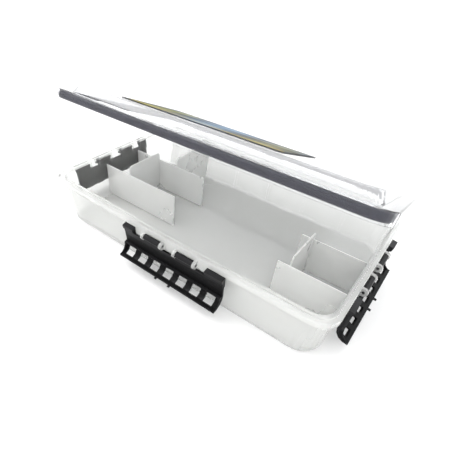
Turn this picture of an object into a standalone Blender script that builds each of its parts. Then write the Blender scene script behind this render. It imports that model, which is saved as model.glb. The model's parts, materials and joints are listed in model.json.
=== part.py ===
"""Fishing tackle box: a drafted see-through tray with fixed and lift-out walls, a hinged gasketed lid
and three hook latches. Metres, +Z up, the tray's base at z = 0, lid ajar and latches hanging open."""

import math

import bmesh
import bpy
from mathutils import Matrix, Vector

# Tray
LENGTH = 0.356
WIDTH = 0.228
LAND_Z = 0.0588
RIM_RADIUS = 0.020
WALL = 0.0022
SKIRT_DEPTH = 0.0059
SKIRT_THICK = 0.0018
RIDGE_HEIGHT = 0.0012
RIDGE_IN = (0.0040, 0.0063)
WALL_TOP_IN = (0.0052, 0.0065)
WALL_BASE_IN = (0.0067, 0.0103)
WALL_TOP_RADIUS = 0.019
WALL_BASE_RADIUS = 0.0237
BASE_FILLET = 0.003
FLOOR_FILLET = 0.004
CORNER_STEPS = 7
GAP = 0.0004

# Walls and dividers
SHEET = 0.0016
FIXED_TOP = LAND_Z - 0.013
DIVIDER_TOP = LAND_Z - 0.002
LEFT_WALL_END = -0.050
RIGHT_WALL_END = 0.100
LEFT_WALLS_Y = {"tray_wall_left_front": -0.033, "tray_wall_left_back": 0.027}
RIGHT_WALLS_Y = {"tray_wall_right_front": -0.052, "tray_wall_right_back": 0.004}
DIVIDER_LEFT_X = -0.127
DIVIDER_RIGHT_X = 0.113
DIVIDER_BACK_X = -0.097
SLOT_XS = (-0.097, -0.044, 0.009, 0.062, 0.115)

# Lid, in its closed place
LID_BOTTOM = LAND_Z + 0.0005
CHANNEL_TOP = LAND_Z + 0.0110
LID_TOP = LAND_Z + 0.0209
LID_WALL = 0.0014
LID_PLATE = 0.0018
LID_ROOF = 0.0009
CHANNEL_IN = (0.0092, 0.0106)
DOME_IN = (0.0124, 0.0164)
DOME_RADIUS = 0.0180
GASKET_IN = (0.0018, 0.0088)
GASKET_Z = (LAND_Z + 0.0016, LAND_Z + 0.0097)
LABEL_SIZE = (0.186, 0.107)
LABEL_CENTRE = (-0.013, -0.0295)
LID_OPEN = math.radians(22.3)

# Hinge
HINGE_OUT = 0.0060
HINGE_Z = LAND_Z + 0.001
HINGE_BARREL = 0.0030
HINGE_BORE = 0.0015
HINGE_PIN = 0.0011
HINGE_STATIONS = {"left": -0.125, "middle": 0.0, "right": 0.125}
LID_KNUCKLE = 0.010
TRAY_KNUCKLE = 0.008

# Latches: each profile is (out, up) from the pivot, in the closed place
PIVOT_OUT = 0.0020
PIVOT_DROP = 0.0095
LATCH_SWING = math.radians(188)
LATCH_HALF = 0.064
LATCH_THICK = 0.0020
LATCH_FACE = (
    (-0.0013, 0.0047),
    (-0.0011, 0.0120),
    (-0.0013, 0.0209),
    (-0.0050, 0.0209),
    (-0.0050, 0.0225),
    (-0.0015, 0.0234),
    (-0.0028, 0.0271),
    (-0.0058, 0.0307),
    (-0.0100, 0.0325),
    (-0.0147, 0.0325),
)
LATCH_BACK = (
    (-0.0150, 0.0345),
    (-0.0098, 0.0345),
    (-0.0049, 0.0325),
    (-0.0011, 0.0283),
    (0.0007, 0.0234),
    (0.0009, 0.0209),
    (0.0010, 0.0120),
    (0.0008, 0.0047),
)
WING = (
    (-0.0013, 0.0062),
    (-0.0014, 0.0032),
    (-0.0027, 0.0025),
    (-0.0030, -0.0022),
    (0.0026, -0.0026),
    (0.0027, 0.0100),
    (-0.0002, 0.0105),
)
NECK = ((-0.0026, 0.0012), (0.0030, 0.0008), (0.0010, 0.0085), (-0.0011, 0.0085), (-0.0014, 0.0032))
END_PLATE = (
    (0.0000, 0.0150),
    (0.0000, 0.0250),
    (-0.0040, 0.0310),
    (-0.0105, 0.0336),
    (-0.0140, 0.0335),
    (-0.0086, 0.0298),
    (-0.0060, 0.0258),
    (-0.0052, 0.0218),
    (-0.0012, 0.0216),
    (-0.0006, 0.0150),
)
WINDOW_CENTRE = (-0.0055, 0.0303)
WINDOW_TILT = math.radians(133)
WINDOW_HALF = (0.0054, 0.0054)
WINDOW_COUNT = 7
WINDOW_PITCH = 0.0178
WINDOW_SHIFT = -0.001
SHELVES = ((-0.0497, -0.0365), (-0.0105, 0.0055), (0.0315, 0.0432))
BOSSES = ((-0.0373, -0.0343), (-0.0127, -0.0097), (0.0047, 0.0077), (0.0293, 0.0323))
PIN_SPANS = ((-0.0371, -0.0099), (0.0049, 0.0321))
KNUCKLES = ((-0.0340, -0.0130), (0.0080, 0.0290))
WINGS = ((-0.0640, -0.0500), (0.0435, 0.0640))
NUBS = (-0.0095, 0.0085)
KNUCKLE_BARREL = 0.0032
BOSS_BARREL = 0.0042
PIN_BORE = 0.0018
LATCH_PIN = 0.0013
LATCHES = {
    "front": (Vector((0, -1, 0)), Vector((1, 0, 0)), WIDTH / 2, 0.014),
    "right": (Vector((1, 0, 0)), Vector((0, -1, 0)), LENGTH / 2, 0.012),
    "left": (Vector((-1, 0, 0)), Vector((0, -1, 0)), LENGTH / 2, 0.012),
}

MATERIALS = {
    "tray_plastic": ((0.86, 0.87, 0.85, 1), 0.35),
    "divider_plastic": ((0.88, 0.89, 0.87, 1), 0.35),
    "lid_plastic": ((0.94, 0.95, 0.97, 1), 0.12),
    "gasket_rubber": ((0.08, 0.08, 0.11, 1), 0.45),
    "latch_plastic": ((0.02, 0.02, 0.02, 1), 0.4),
    "pin_plastic": ((0.05, 0.05, 0.05, 1), 0.4),
    "label_paper": ((0.35, 0.38, 0.40, 1), 0.5),
}


def clear_scene():
    for obj in list(bpy.data.objects):
        bpy.data.objects.remove(obj)


def make_material(name):
    colour, roughness = MATERIALS[name]
    material = bpy.data.materials.new(name)
    material.use_nodes = True
    shader = material.node_tree.nodes["Principled BSDF"]
    shader.inputs["Base Color"].default_value = colour
    shader.inputs["Roughness"].default_value = roughness
    return material


def add_object(name, points, faces, material=None, pivot=(0, 0, 0)):
    """A closed mesh, its origin on its pivot and its faces turned outwards."""
    mesh = bpy.data.meshes.new(name)
    bm = bmesh.new()
    origin = Vector(pivot)
    corners = [bm.verts.new(Vector(point) - origin) for point in points]
    for face in faces:
        bm.faces.new([corners[index] for index in face])
    bmesh.ops.recalc_face_normals(bm, faces=bm.faces)
    bm.to_mesh(mesh)
    bm.free()
    obj = bpy.data.objects.new(name, mesh)
    obj.location = origin
    bpy.context.scene.collection.objects.link(obj)
    if material:
        mesh.materials.append(material)
    return obj


def make_helper(obj):
    obj.hide_render = True
    obj.display_type = "WIRE"
    return obj


def apply_boolean(obj, helper, operation):
    modifier = obj.modifiers.new(helper.name, "BOOLEAN")
    modifier.operation = operation
    modifier.solver = "EXACT"
    modifier.object = make_helper(helper)


def smooth(obj, degrees=35):
    obj.data.shade_smooth()
    obj.data.set_sharp_from_angle(angle=math.radians(degrees))


def rounded_ring(inset, radius, z):
    """Points of a rounded rectangle, inset from the rim by one amount or by one each way."""
    inset_x, inset_y = inset if isinstance(inset, tuple) else (inset, inset)
    half_x = LENGTH / 2 - inset_x
    half_y = WIDTH / 2 - inset_y
    points = []
    for quarter, (side_x, side_y) in enumerate(((1, 1), (-1, 1), (-1, -1), (1, -1))):
        centre_x = side_x * (half_x - radius)
        centre_y = side_y * (half_y - radius)
        for step in range(CORNER_STEPS + 1):
            angle = math.radians(90 * (quarter + step / CORNER_STEPS))
            points.append((centre_x + radius * math.cos(angle), centre_y + radius * math.sin(angle), z))
    return points


def loft(rings, closed=False):
    """Points and faces of rings joined in order, capped at both ends or joined into a loop."""
    count = len(rings[0])
    points = [point for ring in rings for point in ring]
    faces = []
    for row in range(len(rings) if closed else len(rings) - 1):
        low = row * count
        high = (row + 1) % len(rings) * count
        for column in range(count):
            after = (column + 1) % count
            faces.append((low + column, low + after, high + after, high + column))
    if not closed:
        faces.append(tuple(range(count))[::-1])
        faces.append(tuple(range(len(points) - count, len(points))))
    return points, faces


def prism(profile, place, start, end):
    """Points and faces of a flat profile swept from start to end, by place(u, v, along)."""
    count = len(profile)
    points = [place(u, v, along) for along in (start, end) for u, v in profile]
    faces = [tuple(range(count)), tuple(range(count, 2 * count))[::-1]]
    for index in range(count):
        after = (index + 1) % count
        faces.append((index, after, count + after, count + index))
    return points, faces


def merge(shapes):
    """Several closed shapes as one set of points and faces."""
    points = []
    faces = []
    for shape_points, shape_faces in shapes:
        base = len(points)
        points.extend(shape_points)
        faces.extend(tuple(base + index for index in face) for face in shape_faces)
    return points, faces


def circle(centre, radius, steps=20):
    angles = (2 * math.pi * step / steps for step in range(steps))
    return [(centre[0] + radius * math.cos(a), centre[1] + radius * math.sin(a)) for a in angles]


def spread(inset, extra):
    return (inset[0] + extra, inset[1] + extra)


def mix(first, second, share):
    return tuple(a + (b - a) * share for a, b in zip(first, second))


def wall_inset(z):
    """Inset of the tray wall's outer face at a height."""
    return mix(WALL_BASE_IN, WALL_TOP_IN, z / (LAND_Z - WALL))


def tray_rings():
    under = LAND_Z - WALL
    skirt_z = LAND_Z - SKIRT_DEPTH
    base_in = spread(WALL_BASE_IN, WALL)
    inner_radius = WALL_TOP_RADIUS - WALL
    floor_radius = WALL_BASE_RADIUS - WALL
    return [
        rounded_ring(spread(WALL_BASE_IN, BASE_FILLET), WALL_BASE_RADIUS - BASE_FILLET, 0),
        rounded_ring(spread(WALL_BASE_IN, 0.3 * BASE_FILLET), WALL_BASE_RADIUS - 0.001, 0.3 * BASE_FILLET),
        rounded_ring(WALL_BASE_IN, WALL_BASE_RADIUS, BASE_FILLET),
        rounded_ring(WALL_TOP_IN, WALL_TOP_RADIUS, under),
        rounded_ring(SKIRT_THICK, RIM_RADIUS - SKIRT_THICK, under),
        rounded_ring(SKIRT_THICK, RIM_RADIUS - SKIRT_THICK, skirt_z),
        rounded_ring(0, RIM_RADIUS, skirt_z),
        rounded_ring(0, RIM_RADIUS, LAND_Z - 0.0007),
        rounded_ring(0.0007, RIM_RADIUS - 0.0007, LAND_Z),
        rounded_ring(RIDGE_IN[0], RIM_RADIUS - RIDGE_IN[0], LAND_Z),
        rounded_ring(RIDGE_IN[0] + 0.0004, RIM_RADIUS - RIDGE_IN[0], LAND_Z + RIDGE_HEIGHT),
        rounded_ring(RIDGE_IN[1] - 0.0003, RIM_RADIUS - RIDGE_IN[1], LAND_Z + RIDGE_HEIGHT),
        rounded_ring(RIDGE_IN[1], RIM_RADIUS - RIDGE_IN[1], LAND_Z),
        rounded_ring(spread(WALL_TOP_IN, WALL), inner_radius, LAND_Z - 0.0002),
        rounded_ring(base_in, floor_radius, WALL + FLOOR_FILLET),
        rounded_ring(spread(base_in, 0.3 * FLOOR_FILLET), floor_radius - 0.001, WALL + 0.3 * FLOOR_FILLET),
        rounded_ring(spread(base_in, FLOOR_FILLET), floor_radius - FLOOR_FILLET, WALL),
    ]


def latch_place(side):
    """place(u, v, along) of a latch: u out from its pivot, v up, along its length."""
    out, along_axis, reach, shift = LATCHES[side]
    pivot = latch_pivot(side)

    def place(u, v, along):
        return pivot + out * u + Vector((0, 0, v)) + along_axis * along

    return place


def latch_pivot(side):
    out, along_axis, reach, shift = LATCHES[side]
    return out * (reach + PIVOT_OUT) + along_axis * shift + Vector((0, 0, LAND_Z - PIVOT_DROP))


def shelf_profile(side):
    """The rim's skirt carried further down between the pivots, and back to the tray wall."""
    back = bracket_back(side)
    face = -PIVOT_OUT - 0.0002
    top = PIVOT_DROP - 0.0012
    return [(back, top), (face, top), (face, -0.0042), (back, -0.0072)]


def bracket_back(side):
    inset = WALL_TOP_IN[1] if side == "front" else WALL_TOP_IN[0]
    return -PIVOT_OUT - inset - 0.0011


def boss_profile(side):
    """A boss from inside the tray wall, under the rim, round to the pivot's far side."""
    back = bracket_back(side)
    skirt = -PIVOT_OUT - 0.0009
    arc = []
    for step in range(13):
        angle = math.radians(100 - 200 * step / 12)
        arc.append((BOSS_BARREL * math.cos(angle), BOSS_BARREL * math.sin(angle)))
    top = PIVOT_DROP - 0.0012
    return [(back, top), (skirt, top), (skirt, 0.0046)] + arc + [(back, -0.0075)]


def pin_bore_shapes(place):
    bore = circle((0, 0), PIN_BORE, 16)
    return [prism(bore, place, start - 0.0013, end + 0.0013) for start, end in PIN_SPANS]


def hinge_place(u, v, along):
    return Vector((along, WIDTH / 2 + HINGE_OUT + u, HINGE_Z + v))


def tray_knuckle_shapes():
    arm = [(-0.0069, -0.0016), (-0.0024, -0.0016), (0.0006, -0.0020), (-0.0012, -0.0058), (-0.0069, -0.0066)]
    arms = []
    barrels = []
    for x in HINGE_STATIONS.values():
        for side in (-1, 1):
            start = x + side * (LID_KNUCKLE / 2 + GAP)
            end = start + side * TRAY_KNUCKLE
            arms.append(prism(arm, hinge_place, start, end))
            barrels.append(prism(circle((0, 0), HINGE_BARREL), hinge_place, start, end))
    return merge(arms), merge(barrels)


def hinge_bore_shapes():
    reach = LID_KNUCKLE / 2 + TRAY_KNUCKLE + 0.003
    bore = circle((0, 0), HINGE_BORE, 16)
    return merge(prism(bore, hinge_place, x - reach, x + reach) for x in HINGE_STATIONS.values())


def slot_rib_shapes():
    """Pairs of ribs up the back wall, each pair the slot of a divider."""
    shapes = []
    for x in SLOT_XS:
        for side in (-1, 1):
            middle = x + side * (SHEET / 2 + GAP + 0.0006)
            corners = []
            for z in (WALL - 0.001, LAND_Z - 0.010):
                face = WIDTH / 2 - wall_inset(z)[1] - WALL
                corners.append((face - 0.0016, face + 0.0010, z))
            (low_in, low_out, low_z), (top_in, top_out, top_z) = corners
            profile = [(low_in, low_z), (low_out, low_z), (top_out, top_z), (top_in, top_z)]
            shapes.append(
                prism(profile, lambda u, v, along: Vector((along, u, v)), middle - 0.0006, middle + 0.0006)
            )
    return merge(shapes)


def build_tray(material):
    tray = add_object("tray_shell", *loft(tray_rings()), material)
    arms, barrels = tray_knuckle_shapes()
    apply_boolean(tray, add_object("add_hinge_arms", *arms), "UNION")
    apply_boolean(tray, add_object("add_hinge_barrels", *barrels), "UNION")
    shelves = []
    bosses = []
    bores = []
    for side in LATCHES:
        place = latch_place(side)
        shelves += [prism(shelf_profile(side), place, start, end) for start, end in SHELVES]
        bosses += [prism(boss_profile(side), place, start, end) for start, end in BOSSES]
        bores += pin_bore_shapes(place)
    apply_boolean(tray, add_object("add_shelves", *merge(shelves)), "UNION")
    apply_boolean(tray, add_object("add_bosses", *merge(bosses)), "UNION")
    apply_boolean(tray, add_object("add_slot_ribs", *slot_rib_shapes()), "UNION")
    apply_boolean(tray, add_object("cut_latch_bores", *merge(bores)), "DIFFERENCE")
    apply_boolean(tray, add_object("cut_hinge_bores", *hinge_bore_shapes()), "DIFFERENCE")
    smooth(tray)


def end_inset(z):
    """Inset of the tray's inner face at a height, both ways, with the gap of a piece that meets it."""
    return spread(wall_inset(z), WALL + GAP + 0.0003)


def build_fixed_walls(material):
    foot = WALL + GAP
    bend = foot + FLOOR_FILLET
    for side, free_end, walls in ((-1, LEFT_WALL_END, LEFT_WALLS_Y), (1, RIGHT_WALL_END, RIGHT_WALLS_Y)):
        reach = LENGTH / 2
        profile = [
            (side * (reach - end_inset(0)[0] - FLOOR_FILLET - 0.001), foot),
            (side * (reach - end_inset(bend)[0] - 0.0004), bend),
            (side * (reach - end_inset(FIXED_TOP)[0]), FIXED_TOP),
            (free_end, FIXED_TOP),
            (free_end, foot),
        ]
        for name, y in walls.items():
            shape = prism(profile, lambda u, v, along: Vector((u, along, v)), y - SHEET / 2, y + SHEET / 2)
            add_object(name, *shape, material)


def build_divider(name, x, start, end, material):
    """A lift-out divider across two walls, or from a wall to the tray's back when end is None."""
    foot = WALL + GAP
    bend = foot + FLOOR_FILLET
    reach = WIDTH / 2
    if end is None:
        far = [
            (reach - end_inset(0)[1] - FLOOR_FILLET - 0.001, foot),
            (reach - end_inset(bend)[1] - 0.0004, bend),
            (reach - end_inset(DIVIDER_TOP)[1] - 0.0010, DIVIDER_TOP - 0.004),
            (reach - end_inset(DIVIDER_TOP)[1] - 0.0040, DIVIDER_TOP),
        ]
    else:
        edge = end - SHEET / 2 - GAP
        far = [(edge, foot), (edge, DIVIDER_TOP - 0.003), (edge - 0.003, DIVIDER_TOP)]
    near = start + SHEET / 2 + GAP
    profile = [(near, foot)] + far + [(near + 0.003, DIVIDER_TOP), (near, DIVIDER_TOP - 0.003)]
    shape = prism(profile, lambda u, v, along: Vector((along, u, v)), x - SHEET / 2, x + SHEET / 2)
    add_object(name, *shape, material)


def open_lid(points):
    """Points of the closed lid turned about the hinge to where it stands ajar."""
    hinge = hinge_place(0, 0, 0)
    turn = Matrix.Translation(hinge) @ Matrix.Rotation(-LID_OPEN, 4, "X") @ Matrix.Translation(-hinge)
    return [turn @ Vector(point) for point in points]


def lid_rings():
    plate_z = LID_TOP - LID_PLATE
    under = CHANNEL_TOP - LID_ROOF
    corner = RIM_RADIUS
    return [
        rounded_ring(DOME_IN[1] + 0.0018, DOME_RADIUS - 0.0032, plate_z),
        rounded_ring(DOME_IN[0] + 0.0018, DOME_RADIUS - 0.0018, under),
        rounded_ring(CHANNEL_IN[1], corner - CHANNEL_IN[1], under),
        rounded_ring(CHANNEL_IN[1], corner - CHANNEL_IN[1], LID_BOTTOM + 0.0005),
        rounded_ring(CHANNEL_IN[0], corner - CHANNEL_IN[0], LID_BOTTOM + 0.0005),
        rounded_ring(CHANNEL_IN[0], corner - CHANNEL_IN[0], under),
        rounded_ring(LID_WALL, corner - LID_WALL, under),
        rounded_ring(LID_WALL, corner - LID_WALL, LID_BOTTOM),
        rounded_ring(0, corner, LID_BOTTOM),
        rounded_ring(0, corner, CHANNEL_TOP - 0.0016),
        rounded_ring(0.0005, corner - 0.0005, CHANNEL_TOP - 0.0005),
        rounded_ring(0.0016, corner - 0.0016, CHANNEL_TOP),
        rounded_ring(DOME_IN[0] - 0.0008, DOME_RADIUS + 0.0004, CHANNEL_TOP),
        rounded_ring(DOME_IN[0], DOME_RADIUS, CHANNEL_TOP + 0.0008),
        rounded_ring(DOME_IN[1] - 0.0006, DOME_RADIUS - 0.0010, LID_TOP - 0.0016),
        rounded_ring(DOME_IN[1], DOME_RADIUS - 0.0014, LID_TOP - 0.0004),
        rounded_ring(DOME_IN[1] + 0.0012, DOME_RADIUS - 0.0022, LID_TOP),
    ]


def build_lid(material):
    hinge = hinge_place(0, 0, 0)
    points, faces = loft(lid_rings())
    lid = add_object("lid_shell", open_lid(points), faces, material, hinge)
    arm = [(-0.0067, 0.0012), (-0.0022, 0.0012), (0.0016, 0.0018), (-0.0012, 0.0052), (-0.0067, 0.0074)]
    half = LID_KNUCKLE / 2
    shapes = {
        "add_lid_arms": arm,
        "add_lid_barrels": circle((0, 0), HINGE_BARREL),
    }
    for name, profile in shapes.items():
        stations = HINGE_STATIONS.values()
        points, faces = merge(prism(profile, hinge_place, x - half, x + half) for x in stations)
        apply_boolean(lid, add_object(name, open_lid(points), faces), "UNION")
    points, faces = hinge_bore_shapes()
    apply_boolean(lid, add_object("cut_lid_bores", open_lid(points), faces), "DIFFERENCE")
    smooth(lid)


def build_gasket(material):
    """The seal: a round-edged band running round the lid's channel."""
    middle_in = sum(GASKET_IN) / 2
    middle_z = sum(GASKET_Z) / 2
    half_in = (GASKET_IN[1] - GASKET_IN[0]) / 2
    half_z = (GASKET_Z[1] - GASKET_Z[0]) / 2
    rings = []
    for step in range(16):
        angle = 2 * math.pi * step / 16
        across = math.copysign(abs(math.cos(angle)) ** 0.7, math.cos(angle)) * half_in
        up = math.copysign(abs(math.sin(angle)) ** 0.7, math.sin(angle)) * half_z
        inset = middle_in - across
        rings.append(rounded_ring(inset, RIM_RADIUS - inset, middle_z + up))
    points, faces = loft(rings, closed=True)
    smooth(add_object("lid_gasket", open_lid(points), faces, material, hinge_place(0, 0, 0)))


def build_label(material):
    centre_x, centre_y = LABEL_CENTRE
    half_x, half_y = LABEL_SIZE[0] / 2, LABEL_SIZE[1] / 2
    radius = 0.006
    rings = []
    for z in (LID_TOP + 0.0003, LID_TOP + 0.0006):
        ring = []
        for quarter, (side_x, side_y) in enumerate(((1, 1), (-1, 1), (-1, -1), (1, -1))):
            for step in range(5):
                angle = math.radians(90 * (quarter + step / 4))
                x = centre_x + side_x * (half_x - radius) + radius * math.cos(angle)
                y = centre_y + side_y * (half_y - radius) + radius * math.sin(angle)
                ring.append((x, y, z))
        rings.append(ring)
    points, faces = loft(rings)
    add_object("lid_label", open_lid(points), faces, material, hinge_place(0, 0, 0))


def build_hinge_pins(material):
    half = LID_KNUCKLE / 2 + TRAY_KNUCKLE
    for name, x in HINGE_STATIONS.items():
        shape = prism(circle((0, 0), HINGE_PIN, 14), hinge_place, x - half, x + half)
        smooth(add_object("hinge_pin_" + name, *shape, material, hinge_place(0, 0, x)))


def latch_turned(profile):
    """A closed latch's profile turned about the pivot to where it hangs open."""
    turn = Matrix.Rotation(-LATCH_SWING, 2)
    return [tuple(turn @ Vector(point)) for point in profile]


def window_shapes(place):
    """Boxes through the curved part of the plate, one for each window."""
    along_plate = Vector((math.cos(WINDOW_TILT), math.sin(WINDOW_TILT)))
    through = Vector((-along_plate.y, along_plate.x))
    centre = Vector(WINDOW_CENTRE)
    corners = []
    for side_a, side_b in ((-1, -1), (1, -1), (1, 1), (-1, 1)):
        corners.append(tuple(centre + along_plate * side_a * WINDOW_HALF[1] + through * side_b * 0.0062))
    shapes = []
    for index in range(WINDOW_COUNT):
        middle = WINDOW_SHIFT + (index - (WINDOW_COUNT - 1) / 2) * WINDOW_PITCH
        shapes.append(prism(latch_turned(corners), place, middle - WINDOW_HALF[0], middle + WINDOW_HALF[0]))
    return shapes


def build_latch(side, material):
    place = latch_place(side)
    pivot = latch_pivot(side)
    plate = prism(latch_turned(LATCH_FACE + LATCH_BACK), place, -LATCH_HALF, LATCH_HALF)
    latch = add_object("latch_" + side, *plate, material, pivot)
    blocks = [prism(latch_turned(WING), place, start, end) for start, end in WINGS]
    blocks += [prism(latch_turned(NECK), place, start, end) for start, end in KNUCKLES]
    apply_boolean(latch, add_object("add_blocks_" + side, *merge(blocks)), "UNION")
    barrels = [prism(circle((0, 0), KNUCKLE_BARREL), place, start, end) for start, end in KNUCKLES]
    apply_boolean(latch, add_object("add_barrels_" + side, *merge(barrels)), "UNION")
    plates = []
    for start, end in ((-LATCH_HALF + 0.0002, -LATCH_HALF + 0.0022), (LATCH_HALF - 0.0022, LATCH_HALF - 0.0002)):
        plates.append(prism(latch_turned(END_PLATE), place, start, end))
    nub = [(-0.0140, 0.0342), (-0.0140, 0.0328), (-0.0176, 0.0331), (-0.0176, 0.0340)]
    plates += [prism(latch_turned(nub), place, x - 0.0013, x + 0.0013) for x in NUBS]
    apply_boolean(latch, add_object("add_ends_" + side, *merge(plates)), "UNION")
    apply_boolean(latch, add_object("cut_windows_" + side, *merge(window_shapes(place))), "DIFFERENCE")
    apply_boolean(latch, add_object("cut_bores_" + side, *merge(pin_bore_shapes(place))), "DIFFERENCE")
    smooth(latch, 30)


def build_latch_pins(side, material):
    for index, (start, end) in enumerate(PIN_SPANS, 1):
        shape = prism(circle((0, 0), LATCH_PIN, 14), latch_place(side), start, end)
        smooth(add_object(f"latch_pin_{side}_{index}", *shape, material, latch_pivot(side)))


def main():
    clear_scene()
    materials = {name: make_material(name) for name in MATERIALS}
    build_tray(materials["tray_plastic"])
    build_fixed_walls(materials["tray_plastic"])
    dividers = materials["divider_plastic"]
    left_front, left_back = LEFT_WALLS_Y.values()
    right_front, right_back = RIGHT_WALLS_Y.values()
    build_divider("divider_left", DIVIDER_LEFT_X, left_front, left_back, dividers)
    build_divider("divider_right", DIVIDER_RIGHT_X, right_front, right_back, dividers)
    build_divider("divider_back", DIVIDER_BACK_X, left_back, None, dividers)
    build_lid(materials["lid_plastic"])
    build_gasket(materials["gasket_rubber"])
    build_label(materials["label_paper"])
    build_hinge_pins(materials["pin_plastic"])
    for side in LATCHES:
        build_latch(side, materials["latch_plastic"])
        build_latch_pins(side, materials["pin_plastic"])


main()
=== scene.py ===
"""Fishing tackle box: finishes, small moulded detail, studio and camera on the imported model."""

import json
import math

import bpy
from mathutils import Matrix, Vector

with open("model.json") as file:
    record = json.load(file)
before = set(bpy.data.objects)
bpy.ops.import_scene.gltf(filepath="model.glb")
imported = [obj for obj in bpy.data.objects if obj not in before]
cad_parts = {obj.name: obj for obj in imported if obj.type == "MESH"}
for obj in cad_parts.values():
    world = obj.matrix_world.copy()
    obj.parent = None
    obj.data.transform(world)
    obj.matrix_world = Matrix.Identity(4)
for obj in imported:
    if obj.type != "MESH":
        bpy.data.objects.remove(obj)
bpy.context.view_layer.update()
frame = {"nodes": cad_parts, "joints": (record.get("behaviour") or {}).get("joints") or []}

# Camera: where the photograph was taken from
CAMERA_AT = (0.18666, -0.32549, 0.28302)
CAMERA_AZIMUTH = 37.663
CAMERA_ELEVATION = 42.034
CAMERA_ROLL = 2.814
CAMERA_LENS = 28.07
CAMERA_SHIFT = (0.1161, 0.0581)

# The lid: how far it stands open, in degrees, and heights and places on it when it is shut
LID_OPEN = 22.3
CHANNEL_TOP = 0.0698
LABEL_X = (-0.106, 0.080)
LABEL_Y = (-0.083, 0.024)
LABEL_BORDER = 0.0035

# The tray's left end wall, clearer than the rest, starts between these two x
CLEAR_END_X = (-0.1635, -0.1655)

GLOSS_IOR = 1.45
PLASTIC_IOR = 1.08
EDGE_ROUNDING = 0.0004

FLOOR_HALF = 6.0
FLOOR_Z = -0.0002

# name, place, target, size, power, colour
LIGHTS = (
    ("key", (-0.9, -0.5, 1.3), (0, 0, 0.05), (1.2, 0.9), 9, (1, 1, 1)),
    ("fill", (0.30, -0.85, 0.95), (0, 0.02, 0.0), (1.2, 0.5), 2.8, (1, 1, 1)),
    ("rim", (0.5, 1.1, 0.9), (0, 0, 0.05), (1.4, 0.5), 7, (0.96, 0.98, 1.0)),
)


# ---------------------------------------------------------------- materials


class Nodes:
    """A material's node tree, with short calls to add and link nodes."""

    def __init__(self, name):
        self.material = bpy.data.materials.new(name)
        self.material.use_nodes = True
        self.tree = self.material.node_tree
        self.shader = self.tree.nodes["Principled BSDF"]
        self.coords = self.tree.nodes.new("ShaderNodeTexCoord").outputs["Object"]

    def add(self, kind, inputs=None, **settings):
        node = self.tree.nodes.new("ShaderNode" + kind)
        for key, value in settings.items():
            setattr(node, key, value)
        for key, value in (inputs or {}).items():
            socket = node.inputs[key]
            if isinstance(value, bpy.types.NodeSocket):
                self.tree.links.new(value, socket)
            else:
                socket.default_value = value
        return node

    def set(self, **values):
        for key, value in values.items():
            socket = self.shader.inputs[key.replace("_", " ")]
            if isinstance(value, bpy.types.NodeSocket):
                self.tree.links.new(value, socket)
            else:
                socket.default_value = value

    def mapped(self, scale=(1, 1, 1), rotation=(0, 0, 0), location=(0, 0, 0)):
        inputs = {"Vector": self.coords, "Scale": scale, "Rotation": rotation, "Location": location}
        return self.add("Mapping", inputs).outputs[0]

    def closed_lid(self):
        """Coordinates as they are when the lid is shut, however far it stands open."""
        hinge = Vector(next(j for j in frame["joints"] if j["name"] == "lid_hinge")["pos_m"])
        shut = Matrix.Rotation(math.radians(LID_OPEN), 4, "X")
        moved = hinge - shut @ hinge
        return self.mapped(rotation=(math.radians(LID_OPEN), 0, 0), location=tuple(moved))

    def noise(self, scale, detail=3, rough=0.5, vector=None):
        vector = vector or self.coords
        inputs = {"Vector": vector, "Scale": scale, "Detail": detail, "Roughness": rough}
        return self.add("TexNoise", inputs).outputs[0]

    def remap(self, value, low, high, to_low, to_high):
        ends = {"From Min": low, "From Max": high, "To Min": to_low, "To Max": to_high}
        return self.add("MapRange", {"Value": value, **ends}).outputs[0]

    def math(self, operation, first, second=0.0):
        node = self.add("Math", operation=operation)
        for index, value in enumerate((first, second)):
            if isinstance(value, bpy.types.NodeSocket):
                self.tree.links.new(value, node.inputs[index])
            else:
                node.inputs[index].default_value = value
        return node.outputs[0]

    def blend(self, factor, first, second):
        node = self.add("Mix", data_type="RGBA")
        for index, value in ((0, factor), (6, first), (7, second)):
            if isinstance(value, bpy.types.NodeSocket):
                self.tree.links.new(value, node.inputs[index])
            else:
                node.inputs[index].default_value = value
        return node.outputs[2]

    def bump(self, height, strength, distance, under=None):
        inputs = {"Height": height, "Strength": strength, "Distance": distance}
        if under:
            inputs["Normal"] = under
        return self.add("Bump", inputs).outputs[0]

    def scuffs(self, angle, density=0.62, scale=90):
        """Fine scratches that run one way: 0 on clean plastic, 1 in a scratch."""
        stretched = self.mapped(scale=(1, 0.04, 0.35), rotation=(0.2, 0.1, angle))
        return self.remap(self.noise(scale * 10, 2, 0.6, stretched), density, density + 0.06, 0, 1)


def clear_plastic(name, clear, colour, rough, gloss, coat=0.85):
    """See-through moulded plastic, as nodes still open to change: a faint haze, flow clouds,
    mould texture and a few handling scuffs under a gloss skin."""
    n = Nodes(name)
    clouds = n.noise(22, 4, 0.55)
    scuffs = n.math("MAXIMUM", n.scuffs(0.5, 0.70), n.scuffs(2.2, 0.71))
    dimmer = tuple(c * 0.985 for c in colour[:3]) + (1,)
    shade = n.blend(n.remap(clouds, 0.35, 0.65, 0, 1), dimmer, colour)
    n.set(Base_Color=shade)
    base = n.remap(clouds, 0.3, 0.7, rough - 0.02, rough + 0.03)
    n.set(Roughness=n.math("ADD", base, n.math("MULTIPLY", scuffs, 0.10)))
    n.set(Transmission_Weight=clear, IOR=PLASTIC_IOR)
    n.set(Coat_Weight=coat, Coat_Roughness=gloss, Coat_IOR=GLOSS_IOR)
    under = n.bump(n.noise(70, 2, 0.4), 0.20, 0.0005)
    n.set(Normal=n.bump(n.noise(1500, 2, 0.5), 0.08, 0.0001, under))
    return n


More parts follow.
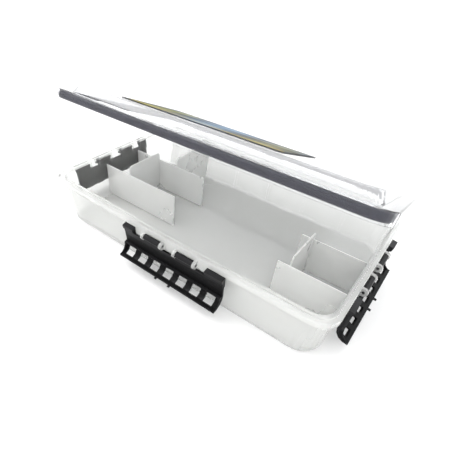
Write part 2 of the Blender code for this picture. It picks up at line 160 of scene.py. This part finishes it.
def tray_plastic(name):
    """The tray's frosted plastic, clearer in the wall behind the left latch."""
    frosted, clear = 0.72, 0.93
    n = clear_plastic(name, frosted, (0.935, 0.94, 0.927, 1), 0.14, 0.10)
    across = n.add("SeparateXYZ", {"Vector": n.coords}).outputs[0]
    n.set(Transmission_Weight=n.remap(across, *CLEAR_END_X, frosted, clear))
    return n.material


def lid_plastic(name):
    """The lid's clear plastic: bright where it runs round the seal, milkier over the raised top."""
    clear, milky = 0.985, 0.72
    n = clear_plastic(name, clear, (0.985, 0.99, 1.0, 1), 0.02, 0.04, 0.22)
    height = n.add("SeparateXYZ", {"Vector": n.closed_lid()}).outputs[2]
    raised = n.remap(height, CHANNEL_TOP + 0.0006, CHANNEL_TOP + 0.0022, 0, 1)
    n.set(Transmission_Weight=n.remap(raised, 0, 1, clear, milky))
    return n.material


def satin_black(name):
    """Moulded black plastic: satin, fine grain and scuffs, with a painted highlight that lightens
    its convex edges, which are also a little glossier.
    """
    n = Nodes(name)
    grain = n.noise(1900, 3, 0.6)
    cloud = n.noise(60, 3, 0.5)
    scuffs = n.math("MAXIMUM", n.scuffs(0.4, 0.60, 130), n.scuffs(1.9, 0.62, 110))
    # painted highlight: convex edges, found by pointiness, get a lighter grey base colour, and the
    # same mask lowers the roughness there
    highlight_edges = n.remap(n.add("NewGeometry").outputs["Pointiness"], 0.51, 0.56, 0, 1)
    dark = n.blend(cloud, (0.0035, 0.0035, 0.0038, 1), (0.0070, 0.0070, 0.0074, 1))
    # the lighter grey here is the painted edge highlight laid over the black
    with_edge_highlight = n.blend(n.math("MULTIPLY", highlight_edges, 0.55), dark, (0.035, 0.035, 0.037, 1))
    n.set(Base_Color=n.blend(n.math("MULTIPLY", scuffs, 0.35), with_edge_highlight, (0.030, 0.030, 0.031, 1)))
    rough = n.remap(cloud, 0.3, 0.7, 0.34, 0.46)
    n.set(Roughness=n.math("SUBTRACT", rough, n.math("MULTIPLY", highlight_edges, 0.08)))
    n.set(IOR=1.5, Specular_IOR_Level=0.08)
    n.set(Normal=n.bump(grain, 0.22, 0.00025))
    return n.material


def seal_rubber(name):
    """Dark blue-grey rubber with a soft sheen, faint mould flash and dust."""
    n = Nodes(name)
    cloud = n.noise(45, 4, 0.55)
    dust = n.remap(n.noise(900, 2, 0.7), 0.60, 0.72, 0, 0.10)
    body = n.blend(cloud, (0.014, 0.014, 0.026, 1), (0.026, 0.026, 0.042, 1))
    n.set(Base_Color=n.blend(dust, body, (0.09, 0.09, 0.12, 1)))
    n.set(Roughness=n.remap(cloud, 0.3, 0.7, 0.36, 0.50), Specular_IOR_Level=0.30)
    n.set(Normal=n.bump(n.noise(1200, 2, 0.5), 0.06, 0.0001))
    return n.material


def printed_label(name):
    """A coated paper print of a generic lake at dusk: sky, hills, water and a warm band, its tones
    changing from end to end, inside a dark border."""
    n = Nodes(name)
    parts = n.add("SeparateXYZ", {"Vector": n.closed_lid()})
    x, y = parts.outputs[0], parts.outputs[1]
    tilt = math.radians(LID_OPEN)
    up = n.remap(y, *LABEL_Y, 0, 1)
    sky = n.add("ValToRGB", {"Fac": up})
    ramp = sky.color_ramp
    ramp.elements[0].position, ramp.elements[0].color = 0.45, (0.62, 0.42, 0.12, 1)
    ramp.elements[1].position, ramp.elements[1].color = 1.0, (0.030, 0.055, 0.120, 1)
    middle = ramp.elements.new(0.66)
    middle.color = (0.20, 0.28, 0.38, 1)
    wide = n.mapped(scale=(1, 3.2, 1), rotation=(tilt, 0, 0))
    clouds = n.noise(26, 5, 0.6, wide)
    cover = n.remap(clouds, 0.5, 0.75, 0, 0.7)
    cloudy = n.blend(cover, sky.outputs[0], (0.55, 0.56, 0.60, 1))
    skyline = n.noise(14, 5, 0.55, n.add("CombineXYZ", {"X": x}).outputs[0])
    ridge = n.remap(skyline, 0.3, 0.7, 0.50, 0.74)
    hills = n.remap(n.math("SUBTRACT", ridge, up), -0.006, 0.006, 0, 1)
    scene = n.blend(hills, cloudy, (0.022, 0.032, 0.036, 1))
    ripples = n.noise(30, 4, 0.6, n.mapped(scale=(0.5, 7, 1), rotation=(tilt, 0, 0)))
    lit = n.remap(ripples, 0.42, 0.62, 0, 1)
    water = n.blend(lit, (0.035, 0.070, 0.105, 1), (0.30, 0.27, 0.18, 1))
    shore = n.remap(up, 0.445, 0.455, 1, 0)
    scene = n.blend(shore, scene, water)
    band = n.math("MULTIPLY", n.remap(up, 0.10, 0.105, 0, 1), n.remap(up, 0.175, 0.18, 1, 0))
    scene = n.blend(band, scene, (0.66, 0.47, 0.06, 1))
    foot = n.remap(up, 0.10, 0.105, 1, 0)
    scene = n.blend(foot, scene, (0.030, 0.034, 0.045, 1))
    along = n.add("ValToRGB", {"Fac": n.remap(x, *LABEL_X, 0, 1)})
    tones = along.color_ramp
    for position, colour in (
        (0.0, (0.05, 0.05, 0.05)),
        (0.16, (0.30, 0.29, 0.07)),
        (0.30, (0.10, 0.11, 0.12)),
        (0.52, (0.22, 0.33, 0.46)),
        (0.70, (0.12, 0.12, 0.11)),
        (0.86, (0.28, 0.26, 0.12)),
    ):
        stop = tones.elements[0] if position == 0.0 else tones.elements.new(position)
        stop.color = colour + (1,)
    tones.elements[-1].color = (0.06, 0.06, 0.06, 1)
    scene = n.blend(0.60, scene, along.outputs[0])
    edges = []
    for place, (low, high) in ((x, LABEL_X), (y, LABEL_Y)):
        inner = (high - low) / 2 - LABEL_BORDER
        off_centre = n.math("ABSOLUTE", n.math("ADD", place, -(low + high) / 2))
        edges.append(n.remap(off_centre, inner, inner + 0.0005, 0, 1))
    n.set(Base_Color=n.blend(n.math("MAXIMUM", *edges), scene, (0.030, 0.031, 0.034, 1)))
    n.set(Specular_IOR_Level=0.12)
    n.set(Roughness=n.remap(n.noise(300, 2, 0.5), 0.3, 0.7, 0.55, 0.70))
    n.set(Normal=n.bump(n.noise(500, 2, 0.5), 0.06, 0.0001))
    return n.material


def pale_floor(name):
    """Matt white paint, very slightly uneven."""
    n = Nodes(name)
    soft = n.noise(3, 2, 0.5)
    n.set(Base_Color=n.blend(soft, (0.93, 0.93, 0.93, 1), (0.95, 0.95, 0.95, 1)))
    n.set(Roughness=0.9)
    return n.material


# ------------------------------------------------------------------- pieces


def finish_node(name, material, bevel):
    """A CAD node's finish, and its moulded edges softly rounded where bevel is not 0."""
    obj = frame["nodes"][name]
    obj.data.materials.clear()
    obj.data.materials.append(material)
    if not bevel:
        return
    weld = obj.modifiers.new("join_corners", "WELD")
    weld.merge_threshold = 0.00001
    round_off = obj.modifiers.new("soft_edges", "BEVEL")
    round_off.width = bevel
    round_off.segments = 2
    round_off.limit_method = "ANGLE"
    round_off.angle_limit = math.radians(40)
    round_off.use_clamp_overlap = True
    round_off.harden_normals = True


def make_finishes():
    tray = tray_plastic("tray_plastic")
    wall = clear_plastic("wall_plastic", 0.36, (0.955, 0.96, 0.947, 1), 0.28, 0.14).material
    divider = clear_plastic("divider_plastic", 0.36, (0.955, 0.96, 0.947, 1), 0.28, 0.14).material
    lid = lid_plastic("lid_plastic")
    black = satin_black("latch_plastic")
    pin = satin_black("pin_plastic")
    seal = seal_rubber("gasket_rubber")
    label = printed_label("label_paper")
    finishes = (
        ("latch_pin", pin, 0),
        ("latch", black, EDGE_ROUNDING),
        ("hinge_pin", pin, 0),
        ("tray_wall", wall, EDGE_ROUNDING),
        ("tray_shell", tray, 0),
        ("divider", divider, EDGE_ROUNDING),
        ("lid_shell", lid, 0),
        ("lid_gasket", seal, 0),
        ("lid_label", label, 0),
    )
    for name in frame["nodes"]:
        material, bevel = next((m, b) for start, m, b in finishes if name.startswith(start))
        finish_node(name, material, bevel)


# ------------------------------------------------------------------- studio


def add_floor():
    mesh = bpy.data.meshes.new("floor")
    sides = ((-1, -1), (1, -1), (1, 1), (-1, 1))
    corners = [(FLOOR_HALF * x, FLOOR_HALF * y, FLOOR_Z) for x, y in sides]
    mesh.from_pydata(corners, [], [(0, 1, 2, 3)])
    floor = bpy.data.objects.new("floor", mesh)
    mesh.materials.append(pale_floor("floor_paint"))
    bpy.context.scene.collection.objects.link(floor)


def add_light(name, at, towards, size, power, colour):
    light = bpy.data.lights.new(name, "AREA")
    light.shape = "RECTANGLE"
    light.size, light.size_y = size
    light.energy = power
    light.color = colour
    obj = bpy.data.objects.new(name, light)
    obj.location = at
    obj.rotation_mode = "QUATERNION"
    obj.rotation_quaternion = (Vector(towards) - Vector(at)).to_track_quat("-Z", "Y")
    bpy.context.scene.collection.objects.link(obj)


def add_studio():
    world = bpy.data.worlds.new("studio")
    world.use_nodes = True
    background = world.node_tree.nodes["Background"]
    background.inputs["Color"].default_value = (1.0, 1.0, 1.0, 1)
    background.inputs["Strength"].default_value = 1.10
    bpy.context.scene.world = world
    for light in LIGHTS:
        add_light(*light)


def add_camera():
    data = bpy.data.cameras.new("camera")
    data.sensor_width = 36
    data.lens = CAMERA_LENS
    data.shift_x, data.shift_y = CAMERA_SHIFT
    data.clip_start, data.clip_end = 0.01, 100
    camera = bpy.data.objects.new("camera", data)
    a, e, r = (math.radians(v) for v in (CAMERA_AZIMUTH, CAMERA_ELEVATION, CAMERA_ROLL))
    back = Vector((math.sin(a) * math.cos(e), -math.cos(a) * math.cos(e), math.sin(e)))
    right = Vector((math.cos(a), math.sin(a), 0))
    up = back.cross(right)
    across = right * math.cos(r) + up * math.sin(r)
    upright = -right * math.sin(r) + up * math.cos(r)
    pose = Matrix((across, upright, back)).transposed().to_4x4()
    pose.translation = Vector(CAMERA_AT)
    camera.matrix_world = pose
    bpy.context.scene.collection.objects.link(camera)
    bpy.context.scene.camera = camera


make_finishes()
add_floor()
add_studio()
add_camera()
bpy.context.scene.view_settings.view_transform = "Standard"
